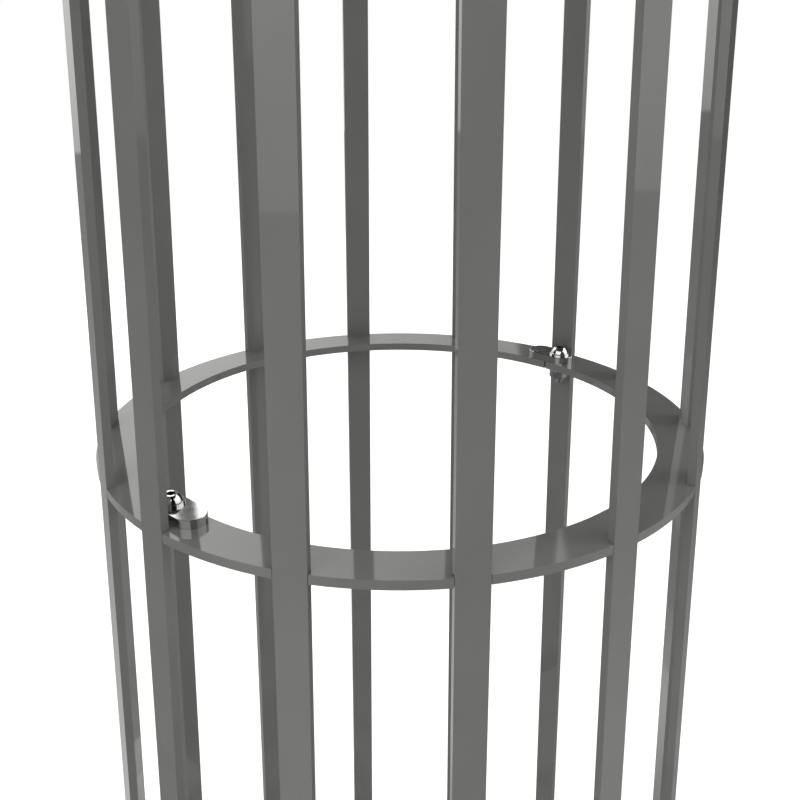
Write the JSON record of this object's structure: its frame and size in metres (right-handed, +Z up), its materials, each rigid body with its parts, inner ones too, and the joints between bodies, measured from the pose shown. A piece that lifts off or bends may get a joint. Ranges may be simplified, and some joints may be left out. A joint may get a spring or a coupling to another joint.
{
  "type": "tree guard",
  "caption": "Tapering round tree guard: two bolted halves of upright flat bars in notched flat rings, standing round a young trunk.",
  "frame": {"origin": "on the ground, at the middle of the circle of bars", "axes": "+Z up along the guard's axis; the split between the halves is the plane Y = 0, and the bolted joints are at -X and +X"},
  "size_m": [0.712, 0.7078, 2],
  "materials": {
    "coated_bar": "smooth grey powder coat",
    "coated_ring": "glossy grey powder coat",
    "plate": "satin polished stainless steel",
    "bolt": "mirror polished stainless steel",
    "washer": "bright zinc plated",
    "nut": "dull zinc plated"
  },
  "bodies": {
    "front_half": {"front_bar_1": "coated_bar", "front_bar_2": "coated_bar", "front_bar_3": "coated_bar", "front_bar_4": "coated_bar", "front_bar_5": "coated_bar", "front_bar_6": "coated_bar", "front_bar_7": "coated_bar", "front_ring_low": "coated_ring", "front_plate_low": "plate", "front_bolt_low": "bolt", "front_washer_low": "washer", "front_washer_low_head": "washer", "front_nut_low": "nut", "front_ring_middle": "coated_ring", "front_plate_middle": "plate", "front_bolt_middle": "bolt", "front_washer_middle": "washer", "front_washer_middle_head": "washer", "front_nut_middle": "nut", "front_ring_high": "coated_ring", "front_plate_high": "plate", "front_bolt_high": "bolt", "front_washer_high": "washer", "front_washer_high_head": "washer", "front_nut_high": "nut"},
    "rear_half": {"rear_bar_1": "coated_bar", "rear_bar_2": "coated_bar", "rear_bar_3": "coated_bar", "rear_bar_4": "coated_bar", "rear_bar_5": "coated_bar", "rear_bar_6": "coated_bar", "rear_bar_7": "coated_bar", "rear_ring_low": "coated_ring", "rear_plate_low": "plate", "rear_bolt_low": "bolt", "rear_washer_low": "washer", "rear_washer_low_head": "washer", "rear_nut_low": "nut", "rear_ring_middle": "coated_ring", "rear_plate_middle": "plate", "rear_bolt_middle": "bolt", "rear_washer_middle": "washer", "rear_washer_middle_head": "washer", "rear_nut_middle": "nut", "rear_ring_high": "coated_ring", "rear_plate_high": "plate", "rear_bolt_high": "bolt", "rear_washer_high": "washer", "rear_washer_high_head": "washer", "rear_nut_high": "nut"}
  },
  "joints": [
    {"name": "halves_part", "type": "slide", "parent": "front_half", "child": "rear_half", "axis": [0, 1, 0], "range_m": [0, 0.5]}
  ]
}
